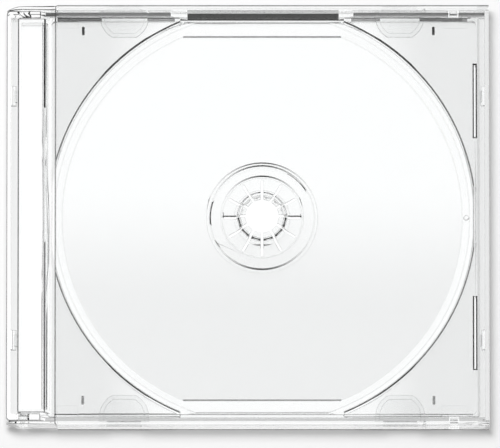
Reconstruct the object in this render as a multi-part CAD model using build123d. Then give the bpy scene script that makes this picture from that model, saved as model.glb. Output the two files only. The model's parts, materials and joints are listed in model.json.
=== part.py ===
# Clear case for one compact disc: a back, a snap-in tray with a twelve-finger hub, and a hinged lid.
# The case lies on its back. X runs from the spine (-) to the opening edge (+), Y along the spine, Z up.
# The origin is the middle of the underside. All sizes are in millimetres.
import os
from math import sqrt

from build123d import *

# Outside of the closed case
case_length = 142.0  # spine to opening edge
case_width = 125.0  # along the spine
case_height = 10.2

# Walls of the three mouldings
back_plate = 1.2
lid_plate = 1.2
lid_wall = 1.4
base_wall = 1.25
end_wall = 1.3  # spine wall and opening wall
tray_wall = 1.0

# Clearances between the mouldings
lid_side_gap = 0.25  # lid wall and arm to the side wall of the back
lid_rest_gap = 0.2  # lid above the back
tray_side_gap = 0.2  # tray to the side walls of the back
card_gap = 0.3  # room for a printed card under the tray
pin_clearance = 0.05  # hinge pin in its hole, on the radius
latch_gap = 0.3  # tray latches to the walls and lugs of the back

# Hinge
pin_radius = 1.9
pin_setback = 0.1  # pin's tip behind the ear's inner face
pin_lead = 0.4  # chamfer at the pin's tip
arm_relief = 0.1  # round arm end above the table
arm_inset = 0.4  # arm's outer face behind the lid's
arm_taper_length = 3.5  # the arm thins towards the spine
arm_tip = 0.3  # thickness left at the spine
arm_room = 1.0  # arm's root to the wide part of the back plate
ear_length = 10.0
ear_slope = 1.5
ear_thickness = 2.05
spine_corner = 0.7  # chamfer on the upright corners at the spine

# Back
flange_setback = 15.0  # spine to where the back plate widens under the lid's walls
well_relief = 1.5  # low stretch of the side wall, past each end of the disc well's ledge
bump_width = 2.3  # lid bump that sits in a notch of the side wall
bump_depth = 1.1
bump_height = 3.3
bump_lift = 0.8  # bump above the lid wall's lower edge
bump_inset = 10.4  # opening edge to the bump's middle
bump_gap = 0.35  # bump to each side of its notch

# Lid
lid_setback = 14.2  # spine to the lid plate's edge
lid_edge_round = 0.4
lid_corner = 0.6
tab_spine_inset = 20.45  # lid plate's edge to the middle of a wall's first half-moon tab
tab_opening_inset = 26.25  # opening edge to the middle of its second tab
tab_radius = 7.3
tab_center_inset = 1.5  # wall to the centre of the tab's arc
tab_reach = 7.9  # wall to the tab's flat end
tab_thickness = 0.9
tab_rim = 1.3
tab_dish = 0.4
booklet_gap = 1.6  # between the tabs and the lid plate
window_width = 10.0  # opening in the wall over each tab
stop_spine_inset = 8.35  # lid plate's edge to the first booklet stop on a side
stop_opening_inset = 16.35  # opening edge to the second
stop_width = 0.8
stop_length = 2.4
stop_depth = 1.2
stop_inset = 5.0  # lid wall to the stop
nick_inset = 19.1  # small groove in the lid wall, from the opening edge
nick_width = 0.6
nick_depth = 0.4

# Tray
deck_top = 6.2
deck_corner = 1.2
deck_end_gap = 1.4  # tray's edge to the opening wall
strip_inset = 3.3  # spine to the raised strip
strip_width = 8.1
strip_foot = 1.4  # slope at the strip's disc side
strip_drop = 0.6  # strip below the lid's top face
strip_end_gap = 0.3  # strip's end to the hinge ear
disc_axis_inset = 66.8  # opening edge to the disc's axis
rim_radius = 62.8
rim_draft = 0.35  # lean of the steep wall under the rim
rim_ledge = 1.35  # flat ring inside the steep wall
well_slope = 2.2  # sloped ring between the ledge and the floor
step_height = 4.2
floor_top = 2.6
rim_border = 1.4  # ledge between the well's flat and the tray's side
flat_slope = 3.9
rim_margin_spine = 1.5  # strip's foot to the well's flat
rim_margin_opening = 1.9
slope_thinning = 0.5  # share of the wall by which a sloped wall's underside stands off

# Latches of the tray
slot_inset = 0.8  # sprung strip between the slot and the tray's edge
slot_width = 0.9
slot_start = 23.7  # from the middle
slot_length = 21.5
latch_offset = 36.3
latch_width = 3.5
latch_height = 1.2
lug_width = 6.0
lug_height = 1.0

# Small features of the tray
shoulder_width = 3.2
shoulder_drop = 0.5
shoulder_spine_length = 6.0
shoulder_spine_inset = 15.0
shoulder_opening_length = 7.6
shoulder_opening_inset = 6.4
gate_radius = 0.65
gate_inset = 2.1  # the well's edge to the gate's middle
gate_height = 1.7

# Hub
finger_count = 12
finger_radius = 7.35  # holds a 15 mm disc hole
finger_wall = 0.9
finger_slot = 0.8
finger_top = 7.3
bead = 0.25
bead_rise = 0.5
seat_top = 4.4  # disc rests here
seat_inner = 12.2
seat_outer = 15.5
seat_foot = 16.4
grip_length = 1.35  # straight part of the fingers
web_top = 3.3
web_thickness = 0.9
web_outer = 11.4
tip_radius = 4.9
tip_thickness = 0.8
root_flare = 0.9

# Places that follow from the sizes above
half_length = case_length / 2
half_width = case_width / 2
lid_inner = half_width - lid_wall
base_outer = lid_inner - lid_side_gap
base_inner = base_outer - base_wall
ear_inner = base_outer - ear_thickness
tray_half = base_inner - tray_side_gap
lid_under = case_height - lid_plate
end_wall_top = lid_under - lid_rest_gap
lid_wall_foot = back_plate + lid_rest_gap
hinge_z = case_height / 2
arm_radius = hinge_z - arm_relief
hinge_x = -half_length + arm_radius
flange_x = -half_length + flange_setback
arm_root_x = flange_x - arm_room
lid_left = -half_length + lid_setback
disc_x = half_length - disc_axis_inset
tray_foot = back_plate + card_gap
tray_right = half_length - end_wall - deck_end_gap
strip_left = -half_length + strip_inset
strip_right = strip_left + strip_width
strip_foot_x = strip_right + strip_foot
strip_top = case_height - strip_drop
strip_half = ear_inner - strip_end_gap
deck_left = strip_right + strip_foot / 2
well_flat = tray_half - rim_border
well_floor_flat = well_flat - flat_slope
well_left = strip_foot_x + rim_margin_spine
well_right = tray_right - rim_margin_opening
ledge_radius = rim_radius - rim_draft
step_radius = ledge_radius - rim_ledge
floor_radius = step_radius - well_slope
ledge_half = sqrt(max(rim_radius**2 - well_flat**2, 1.0))
tab_top = lid_under - booklet_gap
tab_places = (lid_left + tab_spine_inset, half_length - tab_opening_inset)
stop_places = (lid_left + stop_spine_inset, half_length - stop_opening_inset)
bump_x = half_length - bump_inset


def span(x0, x1, y0, y1, z0, z1):
    """A straight-sided cutter or block between two corners."""
    return Pos((x0 + x1) / 2, (y0 + y1) / 2, (z0 + z1) / 2) * Box(x1 - x0, y1 - y0, z1 - z0)


def wall_from_side(profile, y_face, thickness):
    """An XZ profile turned into a wall that grows from y_face away from the middle."""
    return extrude(Plane.XZ.offset(-y_face) * profile, -thickness)


def both_sides(part):
    """The part and its mirror image across the case's long middle plane."""
    return part + mirror(part, Plane.XZ)


def rect(x0, x1, y0, y1):
    """A flat rectangle between two corners."""
    return Pos((x0 + x1) / 2, (y0 + y1) / 2) * Rectangle(x1 - x0, y1 - y0)


# Back: plate, end walls, side walls with hinge ears, lugs over the tray's latches

def side_wall_profile():
    """Side wall seen from the side: high at the ear, low along the disc well, level elsewhere."""
    ear_right = -half_length + ear_length
    low_left = disc_x - ledge_half - well_relief
    low_right = disc_x + ledge_half + well_relief
    outline = Polyline(
        (-half_length, 0),
        (-half_length, end_wall_top),
        (ear_right, end_wall_top),
        (ear_right + ear_slope, deck_top),
        (low_left - ear_slope, deck_top),
        (low_left, step_height),
        (low_right, step_height),
        (low_right + ear_slope, deck_top),
        (half_length, deck_top),
        (half_length, 0),
        close=True,
    )
    half_notch = bump_width / 2 + bump_gap
    notch = rect(bump_x - half_notch, bump_x + half_notch, back_plate, case_height)
    hole = Pos(hinge_x, hinge_z) * Circle(pin_radius + pin_clearance)
    return make_face(outline) - notch - hole


def ear_boss_profile():
    """Thick part of the ear around the hinge hole, clear of the tray's strip."""
    ear_right = -half_length + ear_length
    hole = Pos(hinge_x, hinge_z) * Circle(pin_radius + pin_clearance)
    return rect(-half_length, ear_right, 0, end_wall_top) - hole


def lug_profile(wall_face, inward):
    """Hooked lug on an end wall, seen from the side; it sits just over a tray latch."""
    under = tray_foot + latch_height + latch_gap
    reach = inward * (latch_reach(inward) - latch_gap)
    outline = Polyline(
        (wall_face - inward * end_wall / 2, under),
        (wall_face + reach, under),
        (wall_face + reach, under + lug_height / 2),
        (wall_face - inward * end_wall / 2, under + 2 * lug_height),
        close=True,
    )
    return make_face(outline)


def latch_reach(inward):
    """Room between an end wall and the tray there."""
    if inward > 0:
        return strip_inset - end_wall
    return deck_end_gap


def build_base():
    wide = rect(flange_x, half_length, -half_width, half_width)
    narrow = rect(-half_length, half_length, -base_outer, base_outer)
    base = extrude(wide + narrow, back_plate)

    base += both_sides(wall_from_side(side_wall_profile(), base_inner, base_wall))
    base += both_sides(wall_from_side(ear_boss_profile(), ear_inner, ear_thickness))

    spine = rect(-half_length, -half_length + end_wall, -base_outer, base_outer)
    opening = rect(half_length - end_wall, half_length, -base_outer, base_outer)
    base += extrude(spine + opening, end_wall_top)

    spine_lug = lug_profile(-half_length + end_wall, 1)
    opening_lug = lug_profile(half_length - end_wall, -1)
    for lug in (spine_lug, opening_lug):
        base += both_sides(wall_from_side(lug, latch_offset - lug_width / 2, lug_width))

    spine_edges = base.edges().filter_by(Axis.Z).group_by(Axis.X)[0]
    return chamfer(spine_edges, spine_corner)


# Lid: plate, side walls, half-moon tabs, hinge arms with pins, bumps that sit in the back's notches

def arm_profile():
    """Hinge arm seen from the side: a round end about the pin, tapering up to the wall's lower edge."""
    outline = Polyline(
        (hinge_x, hinge_z - arm_radius),
        (arm_root_x, lid_wall_foot),
        (lid_left + lid_wall, lid_wall_foot),
        (lid_left + lid_wall, case_height - lid_edge_round),
        (hinge_x, hinge_z + arm_radius),
        close=True,
    )
    return make_face(outline) + Pos(hinge_x, hinge_z) * Circle(arm_radius)


def hinge_arm():
    """One arm with its pin, on the +Y side."""
    arm_outer = half_width - arm_inset
    arm = wall_from_side(arm_profile(), lid_inner, arm_outer - lid_inner)
    taper = Polyline(
        (-half_length - 1, lid_inner + arm_tip),
        (-half_length, lid_inner + arm_tip),
        (-half_length + arm_taper_length, arm_outer),
        (-half_length + arm_taper_length, half_width),
        (-half_length - 1, half_width),
        close=True,
    )
    arm -= extrude(make_face(taper), case_height)
    tip = ear_inner + pin_setback
    pin_sketch = Plane.XZ.offset(-tip) * Pos(hinge_x, hinge_z) * Circle(pin_radius)
    pin = extrude(pin_sketch, -(lid_inner + arm_tip - tip))
    pin = chamfer(pin.edges().filter_by(GeomType.CIRCLE).sort_by(Axis.Y)[0], pin_lead)
    return arm + pin


def half_moon_tab():
    """One booklet tab at the +Y wall, dished inside its rim."""
    center_y = lid_inner - tab_center_inset
    end_y = lid_inner - tab_reach
    root = rect(-tab_radius, tab_radius, center_y, lid_inner + lid_wall / 2)
    moon = Pos(0, center_y) * Circle(tab_radius) + root
    moon &= rect(-2 * tab_radius, 2 * tab_radius, end_y, lid_inner + lid_wall / 2)
    dish = Pos(0, center_y) * Circle(tab_radius - tab_rim)
    dish &= rect(-tab_radius, tab_radius, end_y + tab_rim, lid_inner)
    tab = Pos(0, 0, tab_top - tab_thickness) * extrude(moon, tab_thickness)
    return tab - Pos(0, 0, tab_top - tab_dish) * extrude(dish, tab_thickness)


def booklet_stops():
    """Thin ribs under the lid plate that keep a booklet in place, on the +Y side."""
    outer = lid_inner - stop_inset
    stops = []
    half = stop_width / 2
    for x in stop_places:
        top = lid_under + lid_plate / 2
        stops.append(span(x - half, x + half, outer - stop_length, outer, lid_under - stop_depth, top))
    return stops[0] + stops[1]


def build_lid():
    plan = rect(lid_left, half_length, -half_width, half_width)
    plan = chamfer(plan.vertices().group_by(Axis.X)[0], lid_corner)
    plate = Pos(0, 0, lid_under) * extrude(plan, lid_plate)
    lid = fillet(plate.edges().group_by(Axis.Z)[-1], lid_edge_round)

    wall_left = lid_left + lid_corner
    wall = span(wall_left, half_length, lid_inner, half_width, lid_wall_foot, lid_under)
    nick_x = half_length - nick_inset
    wall -= span(
        nick_x - nick_width / 2,
        nick_x + nick_width / 2,
        lid_inner,
        lid_inner + nick_depth,
        lid_wall_foot,
        lid_under,
    )
    tab = half_moon_tab()
    half_window = window_width / 2
    for tab_x in tab_places:
        wall += Pos(tab_x, 0, 0) * tab
        wall -= span(
            tab_x - half_window, tab_x + half_window, lid_inner, half_width, tab_top, lid_under
        )
    bump_foot = lid_wall_foot + bump_lift
    wall += span(
        bump_x - bump_width / 2,
        bump_x + bump_width / 2,
        lid_inner - bump_depth,
        lid_inner + lid_wall / 2,
        bump_foot,
        bump_foot + bump_height,
    )
    return lid + both_sides(wall + booklet_stops() + hinge_arm())


# Tray: a shell made as an outer form less the same form drawn in by the wall

def strip_profile(inset, foot):
    """Section of the raised strip beside the spine, drawn in by inset."""
    outline = Polyline(
        (strip_left + inset, foot),
        (strip_left + inset, strip_top - inset),
        (strip_right - inset, strip_top - inset),
        (strip_foot_x - inset, deck_top - inset),
        (strip_foot_x - inset, foot),
        close=True,
    )
    return make_face(outline)


def disc_well(inset):
    """Space of the disc well: a steep rim, a ring ledge and a slope, cut by flats at the four sides."""
    shift = inset * slope_thinning
    top = strip_top + case_height
    section = Polyline(
        (0, floor_top - inset),
        (floor_radius + shift, floor_top - inset),
        (step_radius + shift, step_height - inset),
        (ledge_radius + inset, step_height - inset),
        (rim_radius + inset, deck_top),
        (rim_radius + inset, top),
        (0, top),
        close=True,
    )
    well = Pos(disc_x, 0, 0) * revolve(Plane.XZ * make_face(section), Axis.Z)
    flats = Polyline(
        (-well_floor_flat - shift, floor_top - inset),
        (-well_flat - shift, step_height - inset),
        (-well_flat - shift, top),
        (well_flat + shift, top),
        (well_flat + shift, step_height - inset),
        (well_floor_flat + shift, floor_top - inset),
        close=True,
    )
    length = well_right - well_left + 2 * inset
    prism = Plane.YZ.offset(well_left - inset) * make_face(flats)
    well &= extrude(prism, length)
    ledge = rect(
        disc_x - ledge_half - inset, disc_x + ledge_half + inset, -half_width, half_width
    )
    return well + Pos(0, 0, step_height - inset) * extrude(ledge, top)


def tray_form(inset, foot):
    """Everything under the tray's upper surface, drawn in by inset."""
    plan = rect(deck_left + inset, tray_right - inset, -tray_half + inset, tray_half - inset)
    plan = fillet(plan.vertices(), deck_corner)
    form = Pos(0, 0, foot) * extrude(plan, deck_top - inset - foot)
    half = strip_half - inset
    form += wall_from_side(strip_profile(inset, foot), -half, 2 * half)
    return form - disc_well(inset)


def hub_section():
    """Section of the hub: disc seat, web and one sprung finger with its bead and inward tip."""
    finger_inner = finger_radius - finger_wall
    grip_top = seat_top + grip_length
    tip_under = finger_top - tip_thickness
    outline = Polyline(
        (seat_foot, floor_top - tray_wall),
        (seat_foot, floor_top),
        (seat_outer, seat_top),
        (seat_inner, seat_top),
        (seat_inner - (seat_top - web_top) / 3, web_top),
        (finger_radius + root_flare, web_top),
        (finger_radius, seat_top),
        (finger_radius, grip_top),
        (finger_radius + bead, grip_top + bead_rise),
        (finger_radius - bead, finger_top - bead),
        (finger_radius - 2 * bead, finger_top),
        (tip_radius, finger_top),
        (tip_radius, tip_under),
        (finger_inner - bead, tip_under),
        (finger_inner, tip_under - bead_rise),
        (finger_inner, web_top - web_thickness),
        (web_outer, web_top - web_thickness),
        (seat_inner + tray_wall / 2, seat_top - tray_wall),
        (seat_outer - tray_wall / 2, seat_top - tray_wall),
        (seat_foot - tray_wall, floor_top - tray_wall),
        close=True,
    )
    return Plane.XZ * make_face(outline)


def build_hub():
    hub = revolve(hub_section(), Axis.Z)
    half_slot = finger_slot / 2
    slot = rect(tip_radius - 1, web_outer - half_slot, -half_slot, half_slot)
    slot += Pos(web_outer - half_slot, 0) * Circle(half_slot)
    cutter = extrude(slot, case_height)
    slots = [place * cutter for place in PolarLocations(0, finger_count)]
    return Pos(disc_x, 0, 0) * (hub - slots)


def latch_block(x_face, outward, reach):
    """One tray latch on the +Y side, wedge-shaped so that it slips past its lug."""
    outline = Polyline(
        (x_face - outward * tray_wall / 2, tray_foot),
        (x_face + outward * reach / 2, tray_foot),
        (x_face + outward * reach, tray_foot + latch_height / 2),
        (x_face + outward * reach, tray_foot + latch_height),
        (x_face - outward * tray_wall / 2, tray_foot + latch_height),
        close=True,
    )
    return wall_from_side(make_face(outline), latch_offset - latch_width / 2, latch_width)


def corner_shoulders():
    """Shallow steps in the deck's four corners, on the +Y side."""
    left = -half_length + shoulder_spine_inset
    right = half_length - shoulder_opening_inset
    spans = ((left, left + shoulder_spine_length), (right - shoulder_opening_length, right))
    inner = tray_half - shoulder_width
    low = deck_top - shoulder_drop
    cuts = [span(x0, x1, inner, half_width, low, case_height) for x0, x1 in spans]
    return cuts[0] + cuts[1]


def build_tray():
    tray = tray_form(0, tray_foot) - tray_form(tray_wall, 0)

    hub_hole = Pos(disc_x, 0, floor_top) * Cylinder(seat_foot - tray_wall / 2, 2 * floor_top)
    tray = tray - hub_hole + build_hub()

    slot_right = tray_right - slot_inset
    slot = span(slot_right - slot_width, slot_right, slot_start, slot_start + slot_length, 0, case_height)
    tray -= both_sides(slot)
    tray += both_sides(latch_block(tray_right, 1, deck_end_gap - latch_gap))
    tray += both_sides(latch_block(strip_left, -1, strip_inset - end_wall - latch_gap))

    tray -= both_sides(corner_shoulders())
    well_edge = min(disc_x + rim_radius, well_right)
    gate_x = well_edge - gate_inset
    gate = Pos(gate_x, 0, floor_top) * extrude(Circle(gate_radius), gate_height)
    return tray + gate


os.makedirs("parts", exist_ok=True)
export_step(build_base(), "parts/base.step")
export_step(build_tray(), "parts/tray.step")
export_step(build_lid(), "parts/lid.step")
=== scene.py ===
import json
import math

import bmesh
import bpy
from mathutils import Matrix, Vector


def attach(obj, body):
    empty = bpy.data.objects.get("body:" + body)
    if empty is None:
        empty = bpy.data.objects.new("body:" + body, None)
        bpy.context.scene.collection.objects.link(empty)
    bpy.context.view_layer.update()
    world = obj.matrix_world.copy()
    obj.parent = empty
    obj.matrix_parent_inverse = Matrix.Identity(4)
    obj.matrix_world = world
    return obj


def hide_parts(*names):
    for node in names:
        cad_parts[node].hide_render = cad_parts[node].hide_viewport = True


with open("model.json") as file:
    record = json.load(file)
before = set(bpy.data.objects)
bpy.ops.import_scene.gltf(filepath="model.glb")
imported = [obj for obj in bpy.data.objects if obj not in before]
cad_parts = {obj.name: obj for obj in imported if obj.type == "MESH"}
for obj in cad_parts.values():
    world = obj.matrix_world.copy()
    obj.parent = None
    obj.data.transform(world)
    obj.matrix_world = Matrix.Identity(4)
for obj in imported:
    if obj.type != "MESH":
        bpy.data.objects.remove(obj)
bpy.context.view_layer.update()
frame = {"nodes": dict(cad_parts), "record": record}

hubAxis = Vector(frame["record"]["mounts"][0]["pos_m"][:2])
print("frame loaded")


# Shader maths

class Wire:  # an output socket that takes part in plain arithmetic
    def __init__(self, tree, socket=None):
        self.tree = tree
        self.socket = socket

    def node(self, kind, settings=None, inputs=None, output=0):
        made = self.tree.nodes.new(kind)
        for name, value in (settings or {}).items():
            setattr(made, name, value)
        for name, value in (inputs or {}).items():
            if isinstance(value, Wire):
                self.tree.links.new(value.socket, made.inputs[name])
            else:
                made.inputs[name].default_value = value
        return Wire(self.tree, made.outputs[output]) if made.outputs else made

    def math(self, operation, first, second):
        return self.node("ShaderNodeMath", {"operation": operation}, {0: first, 1: second})

    def __add__(self, other):
        return self.math("ADD", self, other)

    def __sub__(self, other):
        return self.math("SUBTRACT", self, other)

    def __rsub__(self, other):
        return self.math("SUBTRACT", other, self)

    def __mul__(self, other):
        return self.math("MULTIPLY", self, other)

    def __truediv__(self, other):
        return self.math("DIVIDE", self, other)

    def __pow__(self, other):
        return self.math("POWER", self, other)


def newMaterial(name):
    material = bpy.data.materials.new(name)
    material.use_nodes = True
    material.node_tree.nodes.clear()
    return material, Wire(material.node_tree)


def deselectAll():
    bpy.ops.object.select_all(action="DESELECT")


def setActive(piece):
    deselectAll()
    piece.select_set(True)
    bpy.context.view_layer.objects.active = piece


# Clear polystyrene: bright and even on the flats, with painted shade greying faces that turn away

clearPlastic = {
    # the plastic's own faint tint; the edge looks below set it far lower as painted shade
    "tintAndShade": 0.985,
    "hue": (0.996, 1.0, 1.0, 1.0),
    "steepShade": 1.0,  # below 1, painted shade greys steep faces as they turn from the view
    "steepPower": 3.0,
    "spineShade": 1.0,  # below 1, painted shade on faces that look along the spine
    "spinePower": 1.0,
    "spineDepth": 1.0,
    "ior": 1.42,
    "specular": 0.3,
    "roughness": 0.0,
    "flowScale": 45.0,  # slow waves that the melt leaves
    "flowDepth": 0.000002,  # on level faces
    "flowStrength": 0.3,
    "shadowPower": 2.0,
    "shadowAtGrazing": 0.85,
}

# Looks of painted shade: greyer and darker tints on rounded edges and chosen faces, standing in for the
# lines, wall shadows and reflections that clear plastic shows
shadedRoundEdge = {**clearPlastic, "tintAndShade": 0.85, "steepShade": 0.2, "steepPower": 1.0}
shadedPlate = {**clearPlastic, "tintAndShade": 0.66}
paleEdge = {**clearPlastic, "tintAndShade": 0.35}
greyEdge = {**clearPlastic, "tintAndShade": 0.12}
deepEdge = {**clearPlastic, "tintAndShade": 0.03}
darkEdge = {**clearPlastic, "tintAndShade": 0.002}
outline = {**darkEdge, "ior": 1.01}  # painted contact shadow and edge line along the plate's near edge; its low IOR mirrors nothing
rimEdge = {**clearPlastic, "tintAndShade": 0.12, "spineShade": 0.02, "spinePower": 0.35, "spineDepth": 2.0}
hubEdge = {**clearPlastic, "tintAndShade": 0.8, "spineShade": 0.02, "spinePower": 2.0, "spineDepth": 1.5}


def clearMaterial(name, look, paintedShade=None):
    material, wire = newMaterial(name)
    place = wire.node("ShaderNodeTexCoord", output="Object")
    flow = wire.node(
        "ShaderNodeTexNoise",
        {"noise_dimensions": "3D"},
        {"Vector": place, "Scale": look["flowScale"], "Detail": 0.0},
        "Fac",
    )
    facing = wire.node("ShaderNodeLayerWeight", None, {"Blend": 0.5}, "Facing")
    # painted shade: faces grey as they turn from the view and as they look along the spine
    steep = 1 - facing ** look["steepPower"] * (1 - look["steepShade"])
    turned = wire.node("ShaderNodeTexCoord", output="Normal")
    nx, ny, nz = [wire.node("ShaderNodeSeparateXYZ", None, {0: turned}, axis) for axis in "XYZ"]
    wave = wire.node(
        "ShaderNodeBump",
        None,
        {"Strength": look["flowStrength"], "Distance": look["flowDepth"], "Height": flow * nz * nz},
        "Normal",
    )
    steady = 0.0001  # keeps the division sound on level faces
    along = (ny * ny / (nx * nx + ny * ny + steady)) ** look["spinePower"]
    tone = steep * (1 - along * (1 - look["spineShade"])) ** look["spineDepth"] * look["tintAndShade"]
    # painted shade laid over the piece by place
    if paintedShade:
        tone = tone * paintedShade(wire, place)
    color = wire.node(
        "ShaderNodeMix",
        {"data_type": "RGBA", "blend_type": "MULTIPLY"},
        {0: 1.0, 6: look["hue"], 7: tone},
        2,
    )
    plastic = wire.node(
        "ShaderNodeBsdfPrincipled",
        None,
        {
            "Base Color": color,
            "Roughness": look["roughness"],
            "IOR": look["ior"],
            "Specular IOR Level": look["specular"],
            "Transmission Weight": 1.0,
            "Normal": wave,
        },
    )
    shadowRay = wire.node("ShaderNodeLightPath", output="Is Shadow Ray")
    passing = wire.node("ShaderNodeBsdfTransparent", None, {"Color": (1.0, 1.0, 1.0, 1.0)})
    through = shadowRay * (1 - facing ** look["shadowPower"] * look["shadowAtGrazing"])
    mixed = wire.node("ShaderNodeMixShader", None, {0: through, 1: plastic, 2: passing})
    wire.node("ShaderNodeOutputMaterial", None, {"Surface": mixed})
    return material


trayPaintedShade = {  # painted shade on the tray, standing in for a soft reflection: how much each part of the lower well and the decks is greyed
    "lowWell": 0.13,
    "lowWellFrom": 0.012,
    "lowWellTo": -0.028,
    "wellRing": 0.0588,  # the well's level floor ends here
    "wellChord": 0.0541,
    "deck": 0.17,
    "deckRing": 0.0625,
    "soft": 0.0003,
    "deckFrom": 0.026,
    "deckTo": 0.050,
    "deckLeft": -0.0577,  # the strip beyond stays clear
}


def ramp(wire, value, start, end):
    settings = {"interpolation_type": "SMOOTHSTEP"}
    return wire.node("ShaderNodeMapRange", settings, {"Value": value, "From Min": start, "From Max": end})


def step(wire, value, place):  # 0 before the place, 1 after it
    return ramp(wire, value, place - trayPaintedShade["soft"], place + trayPaintedShade["soft"])


def paintedShadeOnTray(wire, place):
    look = trayPaintedShade
    x, y = [wire.node("ShaderNodeSeparateXYZ", None, {0: place}, axis) for axis in "XY"]
    onDeck = step(wire, x, look["deckLeft"])
    x = x - hubAxis.x
    away = (x * x + y * y) ** 0.5
    onFloor = (1 - step(wire, away, look["wellRing"])) * step(wire, y, -look["wellChord"])
    low = ramp(wire, 0 - y, -look["lowWellFrom"], -look["lowWellTo"]) * look["lowWell"]
    aside = ramp(wire, (x * x) ** 0.5, look["deckFrom"], look["deckTo"]) * look["deck"]
    return 1 - onFloor * low - onDeck * step(wire, away, look["deckRing"]) * aside


# Mouldings: merged copies of the CAD nodes with softened edges

moulding = {
    "edgeRadius": 0.0004,
    "edgeSegments": 3,
    "flatAngle": math.radians(0.5),
    "sharpAngle": math.radians(20),
    "edgeWeight": 0.55,  # share of the edge radius where no zone says otherwise
    "hubReach": 0.0175,  # inside it the hub's small edges
    "hubWeight": 0.3,
    "hubSharpAngle": math.radians(28),
    "wellReach": 0.0635,  # inside it the disc well's hollow corners are rounded too
    "wellTop": 0.0043,
    "smoothAngle": math.radians(40),
    "flatWeight": 100,
    "looksDown": -0.1,  # edges that look further down than this stay sharp
    "outlineTop": 0.0002,  # the back's lower outline is rounded too
    "weldDistance": 0.000002,
    "sliverSize": 0.00001,
    "cutSnap": 0.0000001,
}


def zone(look, weight=None, edgesOnly=False, **limits):  # a place with its own look and edge radius
    span = {"x": (-1, 1), "y": (-1, 1), "z": (-1, 1), "ring": (0, 1), **limits}
    return {"look": look, "weight": weight, "edgesOnly": edgesOnly, **span}


def cut(axis, place, **limits):  # a line across faces, where a zone begins or ends
    return {"axis": axis, "place": place, **zone(None, **limits)}


def inside(area, point):
    x, y, z = point
    places = {"x": x, "y": y, "z": z, "ring": (point.xy - hubAxis).length}
    return all(area[name][0] <= value <= area[name][1] for name, value in places.items())


def cutFaces(shape, cuts):
    for line in cuts:
        faces = [face for face in shape.faces if inside(line, face.calc_center_median())]
        parts = list(dict.fromkeys(part for face in faces for part in [face, *face.edges, *face.verts]))
        way = Vector([axis == line["axis"] for axis in "xyz"])
        spot = way * line["place"]
        bmesh.ops.bisect_plane(shape, geom=parts, dist=moulding["cutSnap"], plane_co=spot, plane_no=way)


def weighEdges(piece, zones, cuts):  # corners that look up or out are rounded, more finely on the hub
    shape = bmesh.new()
    shape.from_mesh(piece.data)
    cutFaces(shape, cuts)
    weight = shape.edges.layers.float.new("bevel_weight_edge")
    for edge in shape.edges:
        if not edge.is_manifold:
            continue
        middle = (edge.verts[0].co + edge.verts[1].co) / 2
        outlook = sum(face.normal.z for face in edge.link_faces)
        away = (middle.xy - hubAxis).length
        onTray = piece.name == "discTray"
        inWell = onTray and away < moulding["wellReach"] and middle.z < moulding["wellTop"]
        onHub = onTray and away < moulding["hubReach"]
        limit = moulding["hubSharpAngle"] if onHub else moulding["sharpAngle"]
        outlook += piece.name == "caseBack" and middle.z < moulding["outlineTop"]
        hidden = outlook < moulding["looksDown"]
        if hidden or not (edge.is_convex or inWell) or edge.calc_face_angle() < limit:
            continue
        edge[weight] = moulding["hubWeight"] if onHub else moulding["edgeWeight"]
        for area in zones:
            if area["weight"] is not None and inside(area, middle):
                edge[weight] = area["weight"]
    shape.to_mesh(piece.data)
    shape.free()


# gives the zones' faces their looks, mostly painted shade
def accentFaces(piece, zones):
    for area in zones:
        if area["look"] not in piece.data.materials[:]:
            piece.data.materials.append(area["look"])
        slot = piece.data.materials[:].index(area["look"])
        for face in piece.data.polygons:
            rounded = face.material_index > 0
            if inside(area, face.center) and (rounded or not area["edgesOnly"]):
                face.material_index = slot


traySlots = {
    "spread": (0.0234, 0.0455),  # each slot's ends, from the middle
    "farWall": (0.0670, 0.0676),
    "drawnIn": 0.0004,
}


def narrowSlots(piece):  # the tray's two slots are drawn in a little
    for corner in piece.data.vertices:
        alongSlot = traySlots["spread"][0] < abs(corner.co.y) < traySlots["spread"][1]
        onFarWall = traySlots["farWall"][0] < corner.co.x < traySlots["farWall"][1]
        if alongSlot and onFarWall:
            corner.co.x -= traySlots["drawnIn"]


def mouldedCopy(node, name, body, material, plan):
    source = frame["nodes"][node]
    piece = source.copy()
    piece.data = source.data.copy()
    piece.name = name
    bpy.context.collection.objects.link(piece)
    piece.parent = None
    piece.matrix_world = source.matrix_world
    piece.data.materials.clear()
    piece.data.materials.append(material)
    piece.data.materials.append(shadedRoundMaterial)
    setActive(piece)
    bpy.ops.object.mode_set(mode="EDIT")
    bpy.ops.mesh.select_all(action="SELECT")
    bpy.ops.mesh.remove_doubles(threshold=moulding["weldDistance"])
    bpy.ops.mesh.dissolve_degenerate(threshold=moulding["sliverSize"])
    bpy.ops.mesh.dissolve_limited(angle_limit=moulding["flatAngle"])
    bpy.ops.object.mode_set(mode="OBJECT")
    if name == "discTray":
        narrowSlots(piece)
    weighEdges(piece, plan["zones"], plan["cuts"])
    soft = piece.modifiers.new("softEdges", "BEVEL")
    soft.width = moulding["edgeRadius"]
    soft.segments = moulding["edgeSegments"]
    soft.limit_method = "WEIGHT"
    soft.use_clamp_overlap = False
    # the rounded faces take the painted-shade edge look
    soft.material = 1
    bpy.ops.object.modifier_apply(modifier=soft.name)
    accentFaces(piece, plan["zones"])
    bpy.ops.object.shade_smooth_by_angle(angle=moulding["smoothAngle"])
    level = piece.modifiers.new("levelFaces", "WEIGHTED_NORMAL")  # flat faces stay optically flat
    level.mode = "FACE_AREA"
    level.weight = moulding["flatWeight"]
    level.keep_sharp = True
    bpy.ops.object.modifier_apply(modifier=level.name)
    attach(piece, body)
    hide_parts(node)
    print("moulding", name, len(piece.data.polygons))


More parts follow.
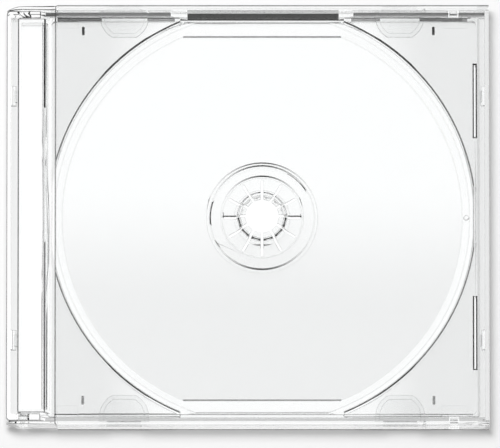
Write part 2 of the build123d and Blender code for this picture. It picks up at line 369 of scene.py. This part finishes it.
shellMaterial = clearMaterial("clearShell", clearPlastic)
trayMaterial = clearMaterial("clearTray", clearPlastic, paintedShadeOnTray)
shadedRoundMaterial = clearMaterial("shadedRoundEdge", shadedRoundEdge)
shadedPlateMaterial = clearMaterial("shadedPlate", shadedPlate)
paleMaterial = clearMaterial("paleEdge", paleEdge)
greyMaterial = clearMaterial("greyEdge", greyEdge)
deepMaterial = clearMaterial("deepEdge", deepEdge)
darkMaterial = clearMaterial("darkEdge", darkEdge)
contactShadowMaterial = clearMaterial("outline", outline)
rimMaterial = clearMaterial("rimEdge", rimEdge)
hubMaterial = clearMaterial("hubEdge", hubEdge)

inBand = (-0.0178, 0.0268)  # the far low wall's stretch that gets the darkest painted shade

hingeZones = [  # the corners where arms, ears and strip end close together, with painted shade, darker on the far side than the near
    zone(deepMaterial, None, True, x=(-0.0712, -0.0590), y=(0.0580, 0.0626), z=(0.0045, 0.0110)),
    zone(greyMaterial, None, True, x=(-0.0712, -0.0590), y=(-0.0626, -0.0580), z=(0.0045, 0.0110)),
]

plateTop = (0.0011, 0.0013)
lowWallTop = (0.0055, 0.0063)
farPlateLine = (0.0616, 0.0619)  # a thin painted dark line along the plate's border

caseBack = {
    # painted shade: darker and greyer faces and edges standing in for refraction lines and wall shadows
    "zones": [
        zone(shadedRoundMaterial, 0.0, x=(-0.0700, -0.0695), z=(0.0085, 0.0090)),  # spine wall, inner edge
        zone(greyMaterial, 0.7, x=(-0.0711, -0.0705), z=(0.0085, 0.0090)),  # and outer edge
        zone(shadedPlateMaterial, None, x=(-0.0698, -0.0677), z=plateTop),  # plate beside both end walls, greyed with painted shade
        zone(shadedPlateMaterial, None, x=(0.0675, 0.0698), z=plateTop),
        zone(shadedPlateMaterial, None, x=(0.0695, 0.0711), z=(0.0086, 0.0090)),  # opening wall's top
        zone(greyMaterial, 0.8, x=(-0.0600, 0.0700), y=(0.0594, 0.0600), z=lowWallTop),  # far low wall, darkened with painted shade
        zone(deepMaterial, 0.8, x=(-0.0600, 0.0700), y=(0.0600, 0.0610), z=lowWallTop),
        zone(darkMaterial, 1.0, x=inBand, y=(0.0594, 0.0610), z=(0.0014, 0.0045)),
        zone(paleMaterial, None, y=(-0.0610, -0.0594), z=(0.0036, 0.0063)),  # near low wall
        zone(deepMaterial, None, y=farPlateLine, z=plateTop),
        zone(contactShadowMaterial, 0.6, y=(-0.0626, -0.0620), z=(0.0005, 0.0013)),  # plate's near edge, with a painted contact shadow
        zone(contactShadowMaterial, 0.2, y=(-0.0626, -0.0620), z=(-0.0001, 0.0005)),
        *hingeZones,
    ],
    "cuts": [
        *[cut("x", place, y=(0.0592, 0.0612)) for place in inBand],
        *[cut("x", place, z=plateTop) for place in (-0.0677, 0.0676)],
        *[cut("y", place, z=plateTop) for place in farPlateLine],
    ],
}

rimBand = {"ring": (0.0627, 0.0636), "z": (0.0054, 0.0063)}
deckBorder = {"y": (0.0581, 0.0592), "z": (0.0056, 0.0063)}
deckEdge = {"y": (0.0588, 0.0595), "z": (0.0055, 0.0063)}
chordEdge = (0.0025, 0.0030)
upperHub = (0.004, 0.02)
slotEdge = {"x": (0.0660, 0.0676), "z": (0.0050, 0.0063)}
slotAcross = {"y": (0.0001, 0.0008), "z": (0.0029, 0.0036)}
stripTop = (0.0090, 0.0097)
webPatch = {"y": (-0.0125, -0.0060), "z": (0.0030, 0.0075), "ring": (0.006, 0.0125)}

discTray = {
    # painted shade: darker and greyer rim, deck border, chord, hub, slot and strip edges, standing in for
    # refraction lines and shadows
    "zones": [
        zone(rimMaterial, 0.9, ring=(0.06275, 0.0633), z=(0.0056, 0.0063)),
        zone(darkMaterial, None, True, y=(0.0420, 0.0580), **rimBand),  # painted shade on the rim, darker towards the flats
        zone(darkMaterial, 1.2, True, y=(0.0420, 0.0540), **rimBand),
        zone(darkMaterial, None, True, y=(-0.0580, -0.0430), **rimBand),
        zone(darkMaterial, 1.2, True, y=(-0.0540, -0.0430), **rimBand),
        zone(deepMaterial, None, x=(-0.0561, -0.0430), **deckBorder),
        zone(greyMaterial, None, x=(-0.0296, -0.0215), **deckBorder),
        zone(greyMaterial, None, x=(0.0305, 0.0390), **deckBorder),
        zone(deepMaterial, None, x=(0.0506, 0.0632), **deckBorder),
        zone(greyMaterial, None, x=(0.0632, 0.0657), **deckBorder),
        zone(greyMaterial, 0.7, y=(0.0538, 0.0544), z=chordEdge),
        zone(greyMaterial, 0.7, y=(-0.0544, -0.0538), z=chordEdge),
        zone(paleMaterial, 0.4, y=(-0.0583, -0.0576), z=(0.0037, 0.0045)),
        zone(hubMaterial, 0.9, ring=(0.0150, 0.0157), z=(0.0041, 0.0045)),  # seat ring, outer edge
        zone(hubMaterial, 0.7, ring=(0.0160, 0.0168), z=(0.0025, 0.0029), y=upperHub),  # its foot
        zone(hubMaterial, 0.8, ring=(0.0118, 0.0126), z=(0.0041, 0.0045), y=upperHub),  # inner edge
        zone(darkMaterial, 0.8, x=(-0.0074, -0.0028), **slotAcross),
        zone(darkMaterial, 0.8, x=(0.0112, 0.0158), **slotAcross),
        zone(greyMaterial, None, x=(-0.0004, 0.0090), y=(-0.0091, -0.0078), z=(0.0030, 0.0075)),
        zone(darkMaterial, 0.5, ring=(0.0067, 0.0074), z=(0.0069, 0.0074), y=(-0.008, -0.0004)),
        zone(darkMaterial, 1.0, y=(0.0233, 0.0456), **slotEdge),
        zone(darkMaterial, 1.0, y=(-0.0456, -0.0233), **slotEdge),
        zone(deepMaterial, 0.9, x=(-0.0678, -0.0672), z=stripTop),  # strip, spine side
        zone(trayMaterial, 0.4, x=(-0.0601, -0.0594), z=stripTop),  # strip, disc side
        zone(darkMaterial, 1.0, x=(-0.0603, -0.0593), z=(0.0088, 0.0097), y=(0.032, 0.060)),
        zone(deepMaterial, 0.7, x=(-0.0601, -0.0594), z=stripTop, y=(-0.060, -0.008)),
        zone(darkMaterial, 1.0, True, x=(-0.0560, -0.0205), **deckEdge),
        zone(deepMaterial, 1.0, True, x=(0.0290, 0.0656), **deckEdge),
        zone(darkMaterial, 1.0, x=inBand, y=(0.0587, 0.0595), z=(0.0020, 0.0045)),
        *hingeZones,
    ],
    "cuts": [
        *[cut("x", place, y=(0.0575, 0.0600)) for place in inBand],
        *[cut("x", place, y=(0.0540, 0.0600), z=(0.0020, 0.0063)) for place in (-0.0561, 0.0657)],
        cut("y", 0.0587, x=(-0.03, 0.04), z=(0.0041, 0.0043)),
        *[cut("x", place, z=(0.0061, 0.0063)) for place in (-0.0215, 0.0305)],  # before the two below
        cut("y", 0.0581, x=(-0.0700, -0.0215), z=(0.0056, 0.0063)),
        cut("y", 0.0581, x=(0.0305, 0.0700), z=(0.0056, 0.0063)),
        *[
            cut("x", place, y=(0.0581, 0.0600), z=(0.0056, 0.0063))
            for place in (-0.0430, -0.0296, 0.0390, 0.0506, 0.0632)
        ],
        *[cut("y", place, **webPatch) for place in (-0.0078, -0.0091)],
        *[cut("y", place, x=(-0.0612, -0.0580)) for place in (0.032, -0.008)],
    ],
}

stops = {"spans": [(-0.0489, -0.0480), (0.0542, 0.0551)], "z": (0.0070, 0.00895)}  # the booklet's stops

frontLid = {
    # painted shade: darker far wall, plate edges and booklet stops, darker on the far side than the near
    "zones": [
        zone(darkMaterial, None, x=inBand, y=(0.0610, 0.0612), z=(0.0013, 0.0028)),  # far wall, inner face
        zone(greyMaterial, None, y=(0.0621, 0.0626), z=(0.0097, 0.0103)),  # plate, far edge
        zone(greyMaterial, None, x=(-0.0569, -0.0563), z=(0.0088, 0.0103)),  # plate, spine edge
        *[zone(darkMaterial, None, x=span, y=(0.0535, 0.0563), z=stops["z"]) for span in stops["spans"]],
        *[zone(greyMaterial, None, x=span, y=(-0.0563, -0.0535), z=stops["z"]) for span in stops["spans"]],
        *hingeZones,
    ],
    "cuts": [
        *[cut("x", place, y=(0.0610, 0.0612)) for place in inBand],
        cut("z", 0.0028, y=(0.0610, 0.0612), x=inBand),
    ],
}

mouldedCopy("base", "caseBack", "case_back", shellMaterial, caseBack)
mouldedCopy("tray", "discTray", "case_back", trayMaterial, discTray)
mouldedCopy("lid", "frontLid", "case_lid", shellMaterial, frontLid)


# Studio

studio = {
    "floorSize": 3.0,
    "floorDrop": 0.0002,
    "floorColor": (0.8, 0.8, 0.8, 1.0),
    "floorGlow": 0.14,
    "floorThrough": 0.8,  # share of the floor that is even white where the case shows it
    "floorThroughGlow": 1.2,
    "keyPlace": (-0.11, 0.165, 0.94),
    "keySize": 0.33,
    "keyPower": 8.4,
    "skyLight": 0.2,
    "skyHeights": (0.1, 0.95),  # the sky goes from its horizon to its top between these
    "skyTop": 0.6,
    "skyAtEnds": 0.7,  # horizon beyond the spine and the opening edge
    "skyAtSides": 0.02,  # darker along the spine's two ways
}


def makeFloor():
    deselectAll()
    bpy.ops.mesh.primitive_plane_add(size=studio["floorSize"], location=(0, 0, -studio["floorDrop"]))
    floor = bpy.context.object
    floor.name = "studioFloor"
    material, wire = newMaterial("studioFloor")
    straight, mirrored, through = [
        wire.node("ShaderNodeLightPath", output=ray)
        for ray in ("Is Camera Ray", "Is Glossy Ray", "Is Transmission Ray")
    ]
    beyond = mirrored.math("MAXIMUM", mirrored, through)
    seen = straight.math("MAXIMUM", straight, beyond)
    matte = wire.node("ShaderNodeBsdfDiffuse", None, {"Color": studio["floorColor"]})
    glow = wire.node("ShaderNodeEmission", None, {"Strength": seen * studio["floorGlow"]})
    lit = wire.node("ShaderNodeAddShader", None, {0: matte, 1: glow})
    even = wire.node("ShaderNodeEmission", None, {"Strength": studio["floorThroughGlow"]})
    mixed = wire.node("ShaderNodeMixShader", None, {0: beyond * studio["floorThrough"], 1: lit, 2: even})
    wire.node("ShaderNodeOutputMaterial", None, {"Surface": mixed})
    floor.data.materials.append(material)


def makeLight():
    key = bpy.data.lights.new("keyLight", "AREA")
    key.shape = "DISK"
    key.size = studio["keySize"]
    key.energy = studio["keyPower"]
    holder = bpy.data.objects.new("keyLight", key)
    bpy.context.collection.objects.link(holder)
    holder.location = studio["keyPlace"]
    aim = -holder.location
    holder.rotation_euler = aim.to_track_quat("-Z", "Y").to_euler()
    holder.visible_glossy = False  # its mirror image would veil the lid
    holder.visible_transmission = False


def makeWorld():
    world = bpy.data.worlds.new("studioWorld")
    bpy.context.scene.world = world
    world.use_nodes = True
    world.node_tree.nodes.clear()
    wire = Wire(world.node_tree)
    way = wire.node("ShaderNodeTexCoord", output="Generated")
    height = wire.node("ShaderNodeSeparateXYZ", None, {0: way}, "Z")
    sideways = wire.node("ShaderNodeSeparateXYZ", None, {0: way}, "Y")
    horizon = studio["skyAtEnds"] - sideways * sideways * (studio["skyAtEnds"] - studio["skyAtSides"])
    sky = wire.node(
        "ShaderNodeMapRange",
        {"interpolation_type": "SMOOTHSTEP"},
        {
            "Value": height,
            "From Min": studio["skyHeights"][0],
            "From Max": studio["skyHeights"][1],
        },
    )
    sky = horizon + sky * (studio["skyTop"] - horizon)
    glossy = wire.node("ShaderNodeLightPath", output="Is Glossy Ray")
    through = wire.node("ShaderNodeLightPath", output="Is Transmission Ray")
    camera = wire.node("ShaderNodeLightPath", output="Is Camera Ray")
    mirrored = glossy.math("MAXIMUM", glossy, through)
    strength = camera + (1 - camera) * (mirrored * sky + (1 - mirrored) * studio["skyLight"])
    background = wire.node("ShaderNodeBackground", None, {"Strength": strength})
    wire.node("ShaderNodeOutputWorld", None, {"Surface": background})


# Camera: a long lens, nearly straight above

camera = {
    "middle": (0.00065, -0.0020, 0.0051),
    "tilt": math.radians(8.5),
    "frameWidth": 0.14715,
    "lens": 1200.0,
    "sensor": 36.0,
    "near": 0.1,
    "far": 10.0,
}


def makeCamera():
    data = bpy.data.cameras.new("camera")
    data.lens = camera["lens"]
    data.sensor_width = camera["sensor"]
    data.sensor_fit = "HORIZONTAL"
    data.clip_start = camera["near"]
    data.clip_end = camera["far"]
    holder = bpy.data.objects.new("camera", data)
    bpy.context.collection.objects.link(holder)
    distance = camera["frameWidth"] * camera["lens"] / camera["sensor"]
    x, y, z = camera["middle"]
    back = (0, -math.sin(camera["tilt"]), math.cos(camera["tilt"]))
    holder.location = (x, y + distance * back[1], z + distance * back[2])
    holder.rotation_euler = (camera["tilt"], 0, 0)
    bpy.context.scene.camera = holder


makeFloor()
makeLight()
makeWorld()
makeCamera()
bpy.context.scene.view_settings.view_transform = "Standard"
print("studio ready")
